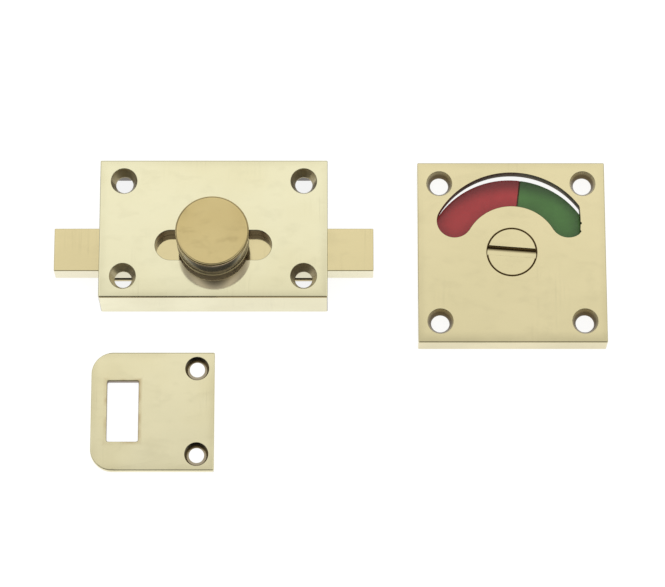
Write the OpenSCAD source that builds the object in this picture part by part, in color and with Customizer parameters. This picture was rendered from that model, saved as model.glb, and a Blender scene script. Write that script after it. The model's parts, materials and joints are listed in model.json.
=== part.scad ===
// Toilet indicator bolt: a sliding bolt in its case, the indicator that shows red or green
// on the other side of the door, and the keep for the frame. The three units lie flat on
// their backs, fronts up. Millimetres. The origin is the centre of the case's back.

/* [Bolt case] */
// Length of the case along the bolt
case_l = 76.6; // [70:0.1:110]
// Thickness of the front face
case_front = 5; // [4:0.1:8]
// Thickness of the four side walls
case_wall = 1.6; // [1.2:0.1:3]
// Distance of a fixing hole from the case's end
case_hole_end = 8.05; // [6.5:0.05:9]
// Distance of a fixing hole from the case's long side
case_hole_side = 7.4; // [6.5:0.05:9]
// Diameter of a fixing hole
case_hole_d = 5.8; // [4:0.1:6.2]
// Diameter of its countersink at the face
case_sink_d = 8.9; // [7:0.1:9.8]

/* [Sliding bolt] */
// Width of the bolt
bolt_w = 15; // [12:0.1:20]
// Thickness of the bolt
bolt_t = 8.2; // [6.5:0.1:12]
// How far the bolt stands out of each end of the case at mid travel
bolt_show = 15.4; // [15:0.1:30]
// Travel of the bolt from the middle to either side
bolt_travel = 14.3; // [10:0.1:15]
// Clearance between the bolt and the openings in the case's ends
guide_gap = 0.15; // [0.1:0.01:0.4]
// Free height between the bolt and the back plate
under_gap = 2; // [1.6:0.1:4]

/* [Knob] */
// Diameter of the knob at its face
knob_d = 24.6; // [18:0.1:30]
// How much smaller the knob's radius is at its underside
knob_taper = 0.5; // [0:0.1:1.5]
// Thickness of the knob's head
knob_head_t = 11.4; // [8:0.1:14]
// Gap between the case and the knob's head
knob_gap = 2.8; // [2:0.1:14]
// Radius of the rim around the knob's face
knob_rim_r = 1; // [0.3:0.05:1.5]
// Radius of the rim at its underside
knob_foot_r = 0.4; // [0.2:0.05:1]
// Diameter of the stem in the slot
stem_d = 9.9; // [8:0.1:13]
// Clearance between the stem and the slot's sides
stem_gap = 0.25; // [0.15:0.05:0.5]
// Clearance left between the stem and the slot's end at full travel
stop_gap = 0.3; // [0.2:0.05:0.6]
// Diameter of the stem's spigot in the knob
spigot_d = 5; // [4:0.1:6]
// Length of that spigot
spigot_l = 5; // [3:0.1:6]
// Diameter of the screw that holds the stem
knob_screw_d = 4; // [3:0.1:4.5]
// Reach of that screw into the stem
knob_screw_grip = 6; // [5:0.1:7]

/* [Rack and pinion] */
// Number of teeth on the pinion
gear_teeth = 25; // [24:1:28]
// Module of rack and pinion
gear_module = 0.8; // [0.75:0.01:0.85]
// Play between the teeth
gear_play = 0.15; // [0.1:0.01:0.25]
// Thickness of the toothed part
gear_t = 6; // [4:0.1:6.5]
// Clearance between the pinion's tips and the case's upper wall
gear_gap = 0.9; // [0.5:0.1:2]
// Diameter of the lower journal, in the back plate
low_journal_d = 11.9; // [10:0.1:13]
// Diameter of the upper journal, in the front face
top_journal_d = 7.9; // [6:0.1:9]
// Depth of the upper journal in the front face
top_journal_l = 2.2; // [1.5:0.1:2.8]
// Width of the shoulders on either side of the teeth
shoulder_w = 1.8; // [1.2:0.1:2]
// Thickness of the thrust washer
pinion_washer_t = 0.6; // [0.4:0.1:0.8]
// Width of the thrust washer's ring
pinion_washer_w = 2; // [1.5:0.1:2.4]

/* [Back plate] */
// Thickness of the back plate
back_t = 1.6; // [1.6:0.1:2.5]
// Width of the plate's tongue around the pinion
tongue_w = 30; // [24:0.5:34]
// Diameter of the pillars that carry the plate
pillar_d = 7; // [6:0.1:8]
// Distance of a pillar's axis from the middle of the case
pillar_x = 24.5; // [22:0.1:25]
// Room between a pillar and the bolt
pillar_gap = 1; // [0.6:0.1:2]
// Metal left around the pinion's journal at the tongue's end
tongue_rim = 3; // [2:0.1:4]
// Diameter of the plate's screws
plate_screw_d = 3; // [2.5:0.1:3]
// Length of the plate's screws
plate_screw_l = 9; // [7:0.1:10]

/* [Friction spring] */
// Free width between the bolt and the case's lower wall
spring_space = 9.1; // [7:0.1:12]
// Half the length of the bowed leaf
spring_half = 20; // [16:0.1:21]
// Thickness of the leaf
spring_t = 0.5; // [0.3:0.05:0.8]
// Width of the leaf
spring_w = 6; // [4:0.1:7]
// Diameter of the pins at the leaf's ends
spring_pin_d = 2.5; // [2:0.1:3]
// Depth of those pins in the front face
spring_pin_hold = 2; // [1.5:0.1:3]

/* [Indicator plate] */
// Side of the square plate
plate_s = 63.5; // [60:0.1:80]
// Thickness of the plate's face
plate_front = 4; // [3.6:0.1:5]
// Thickness of the plate's skirt
plate_wall = 2; // [1.2:0.1:2.4]
// Distance of a fixing hole from the plate's edges
plate_hole_edge = 7.45; // [7:0.05:8]
// Diameter of a fixing hole
plate_hole_d = 6.2; // [4:0.1:6.4]
// Diameter of its countersink at the face
plate_sink_d = 8.4; // [7:0.1:9]
// Distance of the window's outer curve from the plate's edge
window_edge = 3.55; // [3.4:0.05:5]
// Width of the kidney window
window_band = 11.9; // [8:0.1:13]
// Half the angle between the centres of the window's round ends
window_half = 60; // [45:1:62]

/* [Indicator boss and disc] */
// Diameter of the boss in the face
boss_d = 16.5; // [14:0.1:20]
// Clearance around the boss's head, on the radius
boss_gap = 0.3; // [0.1:0.05:0.4]
// Thickness of the boss's head
boss_head = 2.4; // [2.2:0.1:2.6]
// Metal left around the corners of the spindle socket in the boss's shank
shank_wall = 1.77; // [1.4:0.01:2.2]
// Width of the coin slot
coin_slot_w = 3; // [1.5:0.1:4]
// Depth of the coin slot
coin_slot_t = 1.6; // [1:0.1:1.6]
// Turn of the boss and disc at mid travel, clockwise from the front
rest_turn = 4.5; // [0:0.5:6]
// How much smaller the disc's radius is than that of the window's outer curve
disc_margin = 0.8; // [0.5:0.1:2.5]
// How far the disc's rim is off its axis to the left
disc_left = 1; // [0:0.05:1.2]
// How far the disc's rim is off its axis downwards
disc_down = 0.75; // [0:0.05:1]
// Thickness of the disc
disc_t = 1; // [0.8:0.1:1.2]
// Thickness of the coloured sectors
sector_t = 0.2; // [0.1:0.05:0.3]
// How far the coloured sectors reach in under the window's inner curve
sector_lap = 2.8; // [1:0.1:4]
// Line left bare between the two colours
sector_line = 0.4; // [0.2:0.05:0.6]
// Clearance between the colours and the plate's face above them
disc_gap = 0.3; // [0.2:0.05:0.5]
// Depth of the two flats that turn the disc
flat_in = 0.95; // [0.6:0.05:1.2]
// Thickness of the washer behind the disc
disc_washer_t = 0.6; // [0.4:0.1:0.8]
// Width of that washer's ring, and of the friction washer's
disc_washer_w = 3; // [2:0.1:3.2]
// Thickness of the retaining ring
ring_t = 0.8; // [0.6:0.1:1]
// Depth of the retaining ring's groove in the shank
ring_groove = 0.7; // [0.4:0.05:0.8]
// Width of the retaining ring
ring_w = 2.2; // [1.5:0.1:3]
// Length of shank below the retaining ring
shank_tail = 0.8; // [0.6:0.1:1.5]

/* [Spindle] */
// Side of the square spindle that joins bolt and indicator through the door
spindle_s = 5; // [4:0.1:5.2]
// Clearance of the spindle in its sockets, over the whole width
spindle_gap = 0.2; // [0.1:0.05:0.4]
// Depth of the socket in the pinion
pinion_socket = 8; // [5:0.1:9]
// Metal left between the boss's socket and its coin slot
boss_web = 0.8; // [0.8:0.1:1.2]

/* [Keep] */
// Length of the keep, from the round end to the square end
keep_l = 41.4; // [38:0.1:60]
// Width of the keep
keep_w = 40.9; // [38:0.1:60]
// Thickness of the keep
keep_t = 2; // [1.8:0.1:4]
// Radius of the two round corners
keep_corner = 7.4; // [2:0.1:10]
// Distance of the mortice from the round end
mortice_edge = 5.4; // [4:0.1:8]
// Room around the bolt's thickness in the mortice
mortice_play_t = 2.3; // [1:0.1:4]
// Room around the bolt's width in the mortice
mortice_play_w = 5.8; // [1:0.1:8]
// Distance of a fixing hole from the square end
keep_hole_end = 5.9; // [5.5:0.1:8]
// Distance of a fixing hole from the keep's sides
keep_hole_side = 5.65; // [5.4:0.05:8]
// Diameter of a fixing hole
keep_hole_d = 5.1; // [4:0.1:5.6]
// Diameter of its countersink at the face
keep_sink_d = 8.1; // [6.5:0.1:8.6]

/* [Layout on the table] */
// Room between the fully thrown bolt and the indicator
gap_to_indicator = 0.7; // [0.5:0.1:60]
// How far the indicator's centre lies below the case's
indicator_drop = 5.5; // [0:0.5:20]
// Room between the case and the keep
gap_to_keep = 14.9; // [8:0.1:60]
// How far the keep's round end lies outside the case's end
keep_overhang = 2.7; // [0:0.1:20]

/* [Hidden] */
$fn = 96;
brass = "#e0d39d";
deep_brass = "#cdb985";
steel = "#a9abad";
red = "#a83e44";
green = "#467a44";

// Overshoot of a cut past the face it opens, radial clearance of a turning fit,
// clearance of a screw, pin or flat in its hole, and clearance of a face that slides
cut = 1;
running_gap = 0.05;
fit_gap = 0.05;
face_gap = 0.1;

// The case is as high and as wide as what it holds
bolt_z = back_t + under_gap;
bolt_top = bolt_z + bolt_t;
case_back = bolt_top + guide_gap + fit_gap;
case_h = case_back + case_front;
gear_r = gear_module * gear_teeth / 2;
case_w = 2 * case_wall + spring_space + bolt_w + 2 * gear_r + gear_gap;
inner_l = case_l - 2 * case_wall;
inner_w = case_w - 2 * case_wall;
bolt_y = spring_space + (bolt_w - inner_w) / 2;
bolt_l = case_l + 2 * bolt_show;
slot_l = 2 * (bolt_travel + stop_gap) + stem_d;
slot_w = stem_d + 2 * stem_gap;

// Rack on the bolt's upper edge, and the pinion over it
gear_pitch = PI * gear_module;
gear_angle = 20;
gear_tip = gear_r + gear_module;
gear_foot = 1.25 * gear_module;
gear_root = gear_r - gear_foot;
gear_base = gear_r * cos(gear_angle);
gear_y = bolt_y + bolt_w / 2 - gear_module + gear_r;
gear_dip = sqrt(gear_tip * gear_tip - pow(gear_r - gear_module, 2));
rack_gaps = ceil((bolt_travel + gear_dip) / gear_pitch);
washer_z = back_t + face_gap / 2;
collar_z = washer_z + pinion_washer_t + face_gap / 2;
journal_foot = 0.2;

// Back plate: a strip below the bolt, its lower edge level with the bolt's, and a tongue
strip_low = bolt_y - bolt_w / 2;
pillar_y = bolt_y + bolt_w / 2 + pillar_gap + pillar_d / 2;
strip_top = pillar_y + pillar_d / 2;
strip_l = inner_l - 2 * face_gap;
tongue_top = gear_y + low_journal_d / 2 + tongue_rim;

// A countersunk head is this many times as wide as its screw
head_ratio = 1.9;
plate_head_d = head_ratio * plate_screw_d;
knob_head_d = head_ratio * knob_screw_d;

// Bowed leaf between the lower wall and the bolt
wall_low = -inner_w / 2;
spring_rise = spring_space - 2 * face_gap;
spring_r = (spring_half * spring_half + spring_rise * spring_rise) / (2 * spring_rise);
spring_z = bolt_z + (bolt_t - spring_w) / 2;

// Indicator, from the face down
stack = disc_gap + sector_t + disc_t + disc_washer_t + face_gap + ring_t;
plate_h = plate_front + stack + shank_tail + journal_foot;
plate_back = plate_h - plate_front;
sector_z = plate_back - disc_gap - sector_t;
disc_z = sector_z - disc_t;
disc_washer_z = disc_z - face_gap / 2 - disc_washer_t;
ring_z = disc_washer_z - face_gap / 2 - ring_t;
shank_foot = ring_z - shank_tail;
socket_s = spindle_s + spindle_gap;
shank_d = socket_s * sqrt(2) + 2 * shank_wall;
ring_d = shank_d - 2 * ring_groove;
washer_d = shank_d + 4 * running_gap;
window_ro = plate_s / 2 - window_edge;
window_ri = window_ro - window_band;
disc_r = window_ro - disc_margin;
sector_r = window_ri - sector_lap;

// Mortice for the bolt, turned up on edge
mortice_l = bolt_t + mortice_play_t;
mortice_w = bolt_w + mortice_play_w;

// Where the other two units lie
indicator_at = [bolt_l / 2 + bolt_travel + gap_to_indicator + plate_s / 2, -indicator_drop, 0];
keep_at = [(keep_l - case_l) / 2 - keep_overhang, -(case_w + keep_w) / 2 - gap_to_keep, 0];

// Block centred over the axis and standing on its base
module slab(size) {
    translate([-size.x / 2, -size.y / 2, 0]) cube(size);
}

// Slot with round ends, as long as l over all
module round_slot(l, w, h) {
    slab([l - w, w, h]);
    for (side = [-1, 1])
        translate([side * (l - w) / 2, 0, 0]) cylinder(d = w, h = h);
}

// Screw hole with a ninety degree countersink that opens upwards at z = 0
module sunk_hole(hole_d, sink_d, depth) {
    sink = (sink_d - hole_d) / 2;
    translate([0, 0, -depth - cut]) cylinder(d = hole_d, h = depth + 2 * cut);
    translate([0, 0, -sink]) cylinder(d1 = hole_d, d2 = sink_d + 2 * cut, h = sink + cut);
}

// Countersunk screw that points up, its slotted head level with z = 0
module sunk_screw(screw_d, head_d, l) {
    sink = (head_d - screw_d) / 2;
    difference() {
        union() {
            cylinder(d1 = head_d, d2 = screw_d, h = sink);
            cylinder(d = screw_d, h = l);
        }
        translate([0, 0, -cut]) slab([head_d + 2 * cut, screw_d / 4, cut + sink / 2]);
    }
}

// One child at each of the four corners of a rectangle
module corners(x, y) {
    for (sx = [-1, 1], sy = [-1, 1])
        translate([sx * x, sy * y, 0]) children();
}

// One child at each pillar of the case
module pillars() {
    for (side = [-1, 1])
        translate([side * pillar_x, pillar_y, 0]) children();
}

// One child at each end of the bowed leaf
module leaf_ends() {
    reach = spring_pin_d / 2 + 2 * face_gap;
    for (side = [-1, 1])
        translate([side * (spring_half + reach), wall_low + reach, 0]) children();
}

// Flat ring around the axis
module ring(inner_d, outer_d, h) {
    difference() {
        cylinder(d = outer_d, h = h);
        translate([0, 0, -cut]) cylinder(d = inner_d, h = h + 2 * cut);
    }
}

// Angle of the involute at radius r, in degrees
function involute(r) = let (a = acos(gear_base / r)) tan(a) * 180 / PI - a;

// Half the angle that a pinion tooth takes up at radius r
function tooth_half(r) = (gear_pitch / 2 - gear_play) / 2 / gear_r * 180 / PI
    + involute(gear_r) - involute(r);

// Radii of the points on a tooth's flank, from the base circle to the tip
flank = [for (i = [0:4]) gear_base + (gear_tip - gear_base) * i / 4];

// Right flank from the root out, then the left flank back in
function tooth(at) = concat(
    [for (r = concat([gear_root], flank)) let (a = at - tooth_half(max(r, gear_base))) r * [cos(a), sin(a)]],
    [for (i = [4:-1:0]) let (r = flank[i], a = at + tooth_half(r)) r * [cos(a), sin(a)]],
    [gear_root * [cos(at + tooth_half(gear_base)), sin(at + tooth_half(gear_base))]]
);

module gear_outline() {
    polygon([for (i = [0:gear_teeth - 1]) each tooth(-90 + i * 360 / gear_teeth)]);
}

// Gap between two rack teeth, with y = 0 on the rack's pitch line
module rack_gap() {
    slope = tan(gear_angle);
    top = gear_module + cut;
    low = -gear_foot;
    polygon([
        [-gear_pitch / 4 - top * slope, top],
        [-gear_pitch / 4 - low * slope, low],
        [gear_pitch / 4 + low * slope, low],
        [gear_pitch / 4 + top * slope, top]
    ]);
}

module bolt_case() {
    color(brass)
    difference() {
        union() {
            difference() {
                slab([case_l, case_w, case_h]);
                translate([0, 0, -cut]) slab([inner_l, inner_w, case_back + cut]);
            }
            pillars() translate([0, 0, back_t]) cylinder(d = pillar_d, h = case_back - back_t + cut);
        }
        translate([0, bolt_y, case_back - cut]) round_slot(slot_l, slot_w, case_front + 2 * cut);
        translate([0, bolt_y, bolt_z - guide_gap])
            slab([case_l + 2 * cut, bolt_w + 2 * guide_gap, bolt_t + 2 * guide_gap]);
        corners(case_l / 2 - case_hole_end, case_w / 2 - case_hole_side)
            translate([0, 0, case_h]) sunk_hole(case_hole_d, case_sink_d, case_front);
        translate([0, gear_y, case_back - cut])
            cylinder(d = top_journal_d + 2 * running_gap, h = top_journal_l + 2 * face_gap + cut);
        pillars() cylinder(d = plate_screw_d + 2 * fit_gap, h = plate_screw_l + face_gap);
        leaf_ends() translate([0, 0, case_back - cut])
            cylinder(d = spring_pin_d + 2 * fit_gap, h = spring_pin_hold + cut);
    }
}

module back_plate() {
    color(deep_brass)
    difference() {
        union() {
            translate([0, (strip_low + strip_top) / 2, 0]) slab([strip_l, strip_top - strip_low, back_t]);
            translate([0, (strip_low + tongue_top) / 2, 0]) slab([tongue_w, tongue_top - strip_low, back_t]);
        }
        translate([0, gear_y, -cut]) cylinder(d = low_journal_d + 2 * running_gap, h = back_t + 2 * cut);
        pillars() mirror([0, 0, 1])
            sunk_hole(plate_screw_d + 2 * fit_gap, plate_head_d + 2 * fit_gap, back_t);
    }
}

module back_plate_screws() {
    color(steel)
    pillars() sunk_screw(plate_screw_d, plate_head_d, plate_screw_l);
}

module friction_spring() {
    color(steel)
    translate([0, wall_low + face_gap + spring_rise - spring_r, spring_z])
    intersection() {
        ring(2 * (spring_r - spring_t), 2 * spring_r, spring_w);
        translate([0, spring_r - spring_rise / 2, 0]) slab([2 * spring_r, spring_rise, spring_w]);
    }
}

module spring_pins() {
    color(steel)
    leaf_ends() translate([0, 0, bolt_z])
        cylinder(d = spring_pin_d, h = case_back + spring_pin_hold - bolt_z);
}

module bolt_bar() {
    color(deep_brass)
    translate([0, bolt_y, bolt_z])
    difference() {
        slab([bolt_l, bolt_w, bolt_t]);
        for (i = [-rack_gaps:rack_gaps])
            translate([i * gear_pitch, bolt_w / 2 - gear_module, -cut])
                linear_extrude(bolt_t + 2 * cut) rack_gap();
        mirror([0, 0, 1])
            sunk_hole(knob_screw_d + 2 * fit_gap, knob_head_d + 2 * fit_gap, bolt_t);
    }
}

module knob_head() {
    bend = [for (a = [0:15:90]) [sin(a), cos(a)]];
    rim_at = [knob_d / 2 - knob_rim_r, knob_head_t - knob_rim_r];
    foot_at = [knob_d / 2 - knob_taper - knob_foot_r, knob_foot_r];
    color(deep_brass)
    translate([0, bolt_y, case_h + knob_gap])
    difference() {
        rotate_extrude() polygon(concat(
            [[0, knob_head_t]],
            [for (p = bend) rim_at + knob_rim_r * p],
            [for (i = [len(bend) - 1:-1:0]) foot_at + knob_foot_r * [bend[i].x, -bend[i].y]],
            [[0, 0]]
        ));
        translate([0, 0, -cut]) cylinder(d = spigot_d + 2 * fit_gap, h = spigot_l + face_gap + cut);
    }
}

module knob_stem() {
    stem_l = case_h + knob_gap - bolt_top;
    color(deep_brass)
    translate([0, bolt_y, bolt_top])
    difference() {
        union() {
            cylinder(d = stem_d, h = stem_l);
            cylinder(d = spigot_d, h = stem_l + spigot_l);
        }
        translate([0, 0, -cut])
            cylinder(d = knob_screw_d + 2 * fit_gap, h = knob_screw_grip + face_gap + cut);
    }
}

module knob_screw() {
    color(steel)
    translate([0, bolt_y, bolt_z]) sunk_screw(knob_screw_d, knob_head_d, bolt_t + knob_screw_grip);
}

module drive_pinion() {
    low_shoulder_d = low_journal_d + 2 * shoulder_w;
    top_shoulder_d = top_journal_d + 2 * shoulder_w;
    color(brass)
    translate([0, gear_y, 0])
    difference() {
        union() {
            translate([0, 0, journal_foot]) cylinder(d = low_journal_d, h = bolt_z - journal_foot);
            translate([0, 0, collar_z]) cylinder(d = low_shoulder_d, h = bolt_z - collar_z);
            translate([0, 0, bolt_z]) linear_extrude(gear_t) gear_outline();
            translate([0, 0, bolt_z]) cylinder(d = top_shoulder_d, h = case_back - face_gap - bolt_z);
            translate([0, 0, bolt_z]) cylinder(d = top_journal_d, h = case_back + top_journal_l - bolt_z);
        }
        translate([0, 0, journal_foot - cut]) slab([socket_s, socket_s, pinion_socket + cut]);
    }
}

module pinion_washer() {
    inner = low_journal_d + 2 * running_gap;
    color(deep_brass)
    translate([0, gear_y, washer_z]) ring(inner, inner + 2 * pinion_washer_w, pinion_washer_t);
}

// Kidney window: a band between two curves with round ends
module window() {
    mid_r = (window_ro + window_ri) / 2;
    reach = 2 * window_ro;
    translate([0, 0, plate_back - cut]) {
        intersection() {
            ring(2 * window_ri, 2 * window_ro, plate_front + 2 * cut);
            linear_extrude(plate_front + 2 * cut) polygon([
                [0, 0],
                reach * [sin(window_half), cos(window_half)],
                reach * [sin(window_half / 2), cos(window_half / 2)],
                reach * [0, 1],
                reach * [-sin(window_half / 2), cos(window_half / 2)],
                reach * [-sin(window_half), cos(window_half)]
            ]);
        }
        for (side = [-1, 1])
            translate([side * mid_r * sin(window_half), mid_r * cos(window_half), 0])
                cylinder(d = window_band, h = plate_front + 2 * cut);
    }
}

module indicator_plate() {
    inner_s = plate_s - 2 * plate_wall;
    hole_at = plate_s / 2 - plate_hole_edge;
    color(brass)
    translate(indicator_at)
    difference() {
        slab([plate_s, plate_s, plate_h]);
        translate([0, 0, -cut]) slab([inner_s, inner_s, plate_back + cut]);
        window();
        translate([0, 0, plate_h - boss_head - face_gap])
            cylinder(d = boss_d + 2 * boss_gap, h = boss_head + face_gap + cut);
        cylinder(d = shank_d + 2 * running_gap, h = plate_h);
        corners(hole_at, hole_at)
            translate([0, 0, plate_h]) sunk_hole(plate_hole_d, plate_sink_d, plate_front);
    }
}

// Round shank with two flats, which the disc's hole follows
module flatted_shank(gap, h) {
    intersection() {
        cylinder(d = shank_d + 2 * gap, h = h);
        slab([shank_d + 2 * cut, shank_d - 2 * flat_in + 2 * gap, h]);
    }
}

// Boss and disc turn together, so they share one rest angle
module turned() {
    translate(indicator_at) rotate(-rest_turn) children();
}

module release_boss() {
    head_z = plate_h - boss_head;
    socket_top = plate_h - coin_slot_t - boss_web;
    color(brass)
    turned()
    difference() {
        union() {
            translate([0, 0, head_z]) cylinder(d = boss_d, h = boss_head);
            translate([0, 0, sector_z]) cylinder(d = shank_d, h = head_z - sector_z);
            translate([0, 0, shank_foot]) flatted_shank(0, sector_z - shank_foot);
        }
        translate([0, 0, plate_h - coin_slot_t]) slab([boss_d + 2 * cut, coin_slot_w, coin_slot_t + cut]);
        translate([0, 0, shank_foot - cut]) slab([socket_s, socket_s, socket_top - shank_foot + cut]);
        translate([0, 0, ring_z - face_gap / 2]) ring(ring_d, shank_d + 2 * cut, ring_t + face_gap);
    }
}

// Round of the disc, a little off the axis that it turns about
module disc_round(h) {
    translate([-disc_left, -disc_down, 0]) cylinder(r = disc_r, h = h);
}

module indicator_disc() {
    color(deep_brass)
    turned()
    difference() {
        translate([0, 0, disc_z]) disc_round(disc_t);
        translate([0, 0, disc_z - cut]) flatted_shank(fit_gap, disc_t + 2 * cut);
    }
}

// Half of the coloured ring, on the side given
module half_ring(side) {
    turned()
    translate([0, 0, sector_z])
    difference() {
        intersection() {
            disc_round(sector_t);
            translate([side * (sector_line / 2 + 2 * disc_r), 0, 0])
                slab([4 * disc_r, 4 * disc_r, sector_t]);
        }
        translate([0, 0, -cut]) cylinder(r = sector_r, h = sector_t + 2 * cut);
    }
}

module red_sector() {
    color(red) half_ring(-1);
}

module green_sector() {
    color(green) half_ring(1);
}

module friction_washer() {
    color(steel)
    turned() translate([0, 0, sector_z])
        ring(washer_d, washer_d + 2 * disc_washer_w, sector_t + disc_gap - face_gap);
}

module disc_washer() {
    color(steel)
    turned() translate([0, 0, disc_washer_z])
        ring(washer_d, washer_d + 2 * disc_washer_w, disc_washer_t);
}

module retaining_ring() {
    inner = ring_d + 2 * fit_gap;
    color(steel)
    turned() translate([0, 0, ring_z])
    difference() {
        ring(inner, inner + 2 * ring_w, ring_t);
        translate([inner, 0, -cut]) slab([2 * inner, ring_w, ring_t + 2 * cut]);
    }
}

// Keep's outline: round corners at one end, square at the other
module keep_outline() {
    union() {
        translate([keep_corner / 2, 0, 0]) slab([keep_l - keep_corner, keep_w, keep_t]);
        slab([keep_l, keep_w - 2 * keep_corner, keep_t]);
        for (side = [-1, 1])
            translate([keep_corner - keep_l / 2, side * (keep_w / 2 - keep_corner), 0])
                cylinder(r = keep_corner, h = keep_t);
    }
}

module keep_plate() {
    color(brass)
    translate(keep_at)
    difference() {
        keep_outline();
        translate([mortice_edge + (mortice_l - keep_l) / 2, 0, -cut])
            slab([mortice_l, mortice_w, keep_t + 2 * cut]);
        for (side = [-1, 1])
            translate([keep_l / 2 - keep_hole_end, side * (keep_w / 2 - keep_hole_side), keep_t])
                sunk_hole(keep_hole_d, keep_sink_d, keep_t);
    }
}

bolt_case();
back_plate();
back_plate_screws();
friction_spring();
spring_pins();
bolt_bar();
knob_head();
knob_stem();
knob_screw();
drive_pinion();
pinion_washer();
indicator_plate();
release_boss();
indicator_disc();
red_sector();
green_sector();
friction_washer();
disc_washer();
retaining_ring();
keep_plate();
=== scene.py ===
# %% [markdown]
# # A brass indicator bolt, dressed for its picture
# The set is three brass units that lie on a white table: the sliding bolt in its case, the
# square indicator with its kidney window, and the keep that takes the bolt in the frame.
# Their construction is already packed, so this lesson loads it as a fixed frame and works
# on looks: the pieces that show are modelled again with the soft edges of buffed metal, and
# every surface gets a finish that is made of nodes.

import json
import math

import bpy
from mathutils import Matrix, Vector


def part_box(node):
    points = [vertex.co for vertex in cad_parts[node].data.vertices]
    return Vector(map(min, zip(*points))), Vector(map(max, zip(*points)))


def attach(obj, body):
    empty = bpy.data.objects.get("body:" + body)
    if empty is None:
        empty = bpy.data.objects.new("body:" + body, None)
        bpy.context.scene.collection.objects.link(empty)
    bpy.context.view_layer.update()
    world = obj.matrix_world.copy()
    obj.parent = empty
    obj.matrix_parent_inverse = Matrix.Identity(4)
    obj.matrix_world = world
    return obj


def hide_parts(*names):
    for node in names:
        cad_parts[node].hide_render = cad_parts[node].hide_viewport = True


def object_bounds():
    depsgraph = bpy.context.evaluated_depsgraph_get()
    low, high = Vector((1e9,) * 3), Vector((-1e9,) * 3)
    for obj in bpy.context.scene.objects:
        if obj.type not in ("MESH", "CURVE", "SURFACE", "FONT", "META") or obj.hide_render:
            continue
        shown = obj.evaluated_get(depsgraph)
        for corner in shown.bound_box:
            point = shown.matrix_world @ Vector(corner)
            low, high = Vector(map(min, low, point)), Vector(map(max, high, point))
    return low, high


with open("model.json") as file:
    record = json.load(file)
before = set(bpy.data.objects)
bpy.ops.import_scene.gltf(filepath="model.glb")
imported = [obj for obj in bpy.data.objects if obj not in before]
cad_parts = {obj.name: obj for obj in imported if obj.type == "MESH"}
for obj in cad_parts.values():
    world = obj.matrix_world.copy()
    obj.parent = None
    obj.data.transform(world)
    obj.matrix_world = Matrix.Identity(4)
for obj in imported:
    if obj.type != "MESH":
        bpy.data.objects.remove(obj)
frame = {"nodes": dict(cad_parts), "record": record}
cad_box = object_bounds()
mounts = {mount["name"]: mount for mount in frame["record"]["mounts"]}
print("nodes in the frame:", len(frame["nodes"]))
print("box in mm:", [[round(1000 * c, 2) for c in corner] for corner in cad_box])

# %% [markdown]
# ## A few habits at the bench
# Every piece starts as a primitive and is shaped by operators, as it would be by hand. An
# operator acts on all that is selected, so a helper selects one piece alone first. A
# primitive's place and size go straight into its mesh, because a finished piece has to sit
# at the origin as the frame's own nodes do. Sizes are written in millimetres and turned into
# Blender's metres by one factor.

# %% Select, place and name
MM = 0.001
OVER = 1 * MM  # how far a cutter reaches past the face that it opens


def alone(piece):
    """Selects one piece and nothing else, and makes it the active one."""
    bpy.ops.object.select_all(action="DESELECT")
    piece.select_set(True)
    bpy.context.view_layer.objects.active = piece
    return piece


def settle(piece, name):
    """Names a new primitive and puts its place, turn and size into its mesh."""
    alone(piece)
    bpy.ops.object.transform_apply(location=True, rotation=True, scale=True)
    piece.name = name
    piece.data.name = name
    return piece


def block(low, high, name="cutter"):
    """A box between its lowest and highest corner."""
    low, high = Vector(low), Vector(high)
    bpy.ops.mesh.primitive_cube_add(size=1, location=(low + high) / 2)
    bpy.context.object.scale = high - low
    return settle(bpy.context.object, name)


def drum(x, y, low, high, radius, top_radius=None, sides=96, name="cutter"):
    """A cylinder about an upright axis, or a cone where the top has a radius of its own."""
    bpy.ops.mesh.primitive_cone_add(
        vertices=sides, radius1=radius, radius2=radius if top_radius is None else top_radius,
        depth=high - low, location=(x, y, (low + high) / 2))
    return settle(bpy.context.object, name)


print("helpers ready: alone, settle, block, drum")

# %% [markdown]
# Some shapes have an outline that no primitive gives, such as the kidney window. A filled
# circle with as many corners as the outline is added, each corner is moved to its place on
# the outline, and the face is extruded. Round stretches are arcs worked out by a formula.

# %% Outlines with a thickness
SAME_POINT = 0.001 * MM  # corners this close to each other are merged


def polar(x, y, radius, angle):
    """The point at an angle, in degrees, on a circle about (x, y)."""
    turn = math.radians(angle)
    return x + radius * math.cos(turn), y + radius * math.sin(turn)


def arc(x, y, radius, start, end, steps):
    """Points along an arc about (x, y), from one angle to another in degrees."""
    return [polar(x, y, radius, start + (end - start) * i / steps) for i in range(steps + 1)]


def outlined(points, low, high, name="cutter"):
    """A flat outline that is extruded from one height to another."""
    bpy.ops.mesh.primitive_circle_add(vertices=len(points), radius=1, fill_type="NGON")
    piece = settle(bpy.context.object, name)
    for corner, (x, y) in zip(piece.data.vertices, points):
        corner.co = (x, y, low)
    bpy.ops.object.mode_set(mode="EDIT")
    bpy.ops.mesh.select_all(action="SELECT")
    bpy.ops.mesh.extrude_region_move(TRANSFORM_OT_translate={"value": (0, 0, high - low)})
    bpy.ops.mesh.select_all(action="SELECT")
    bpy.ops.mesh.remove_doubles(threshold=SAME_POINT)
    bpy.ops.mesh.normals_make_consistent(inside=False)
    bpy.ops.object.mode_set(mode="OBJECT")
    return piece


print("helpers ready: polar, arc, outlined")

# %% [markdown]
# Holes, slots and hollows are cut with Boolean modifiers, because the openings are true
# cylinders and boxes and have to stay exact. A knife could not keep them round. Each
# modifier is applied at once, and its cutter is thrown away.

# %% Cut and weld


def modify(piece, kind, **settings):
    """Gives a piece a modifier, sets it up and applies it."""
    alone(piece)
    step = piece.modifiers.new("step", kind)
    for setting, value in settings.items():
        setattr(step, setting, value)
    bpy.ops.object.modifier_apply(modifier=step.name)


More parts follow.
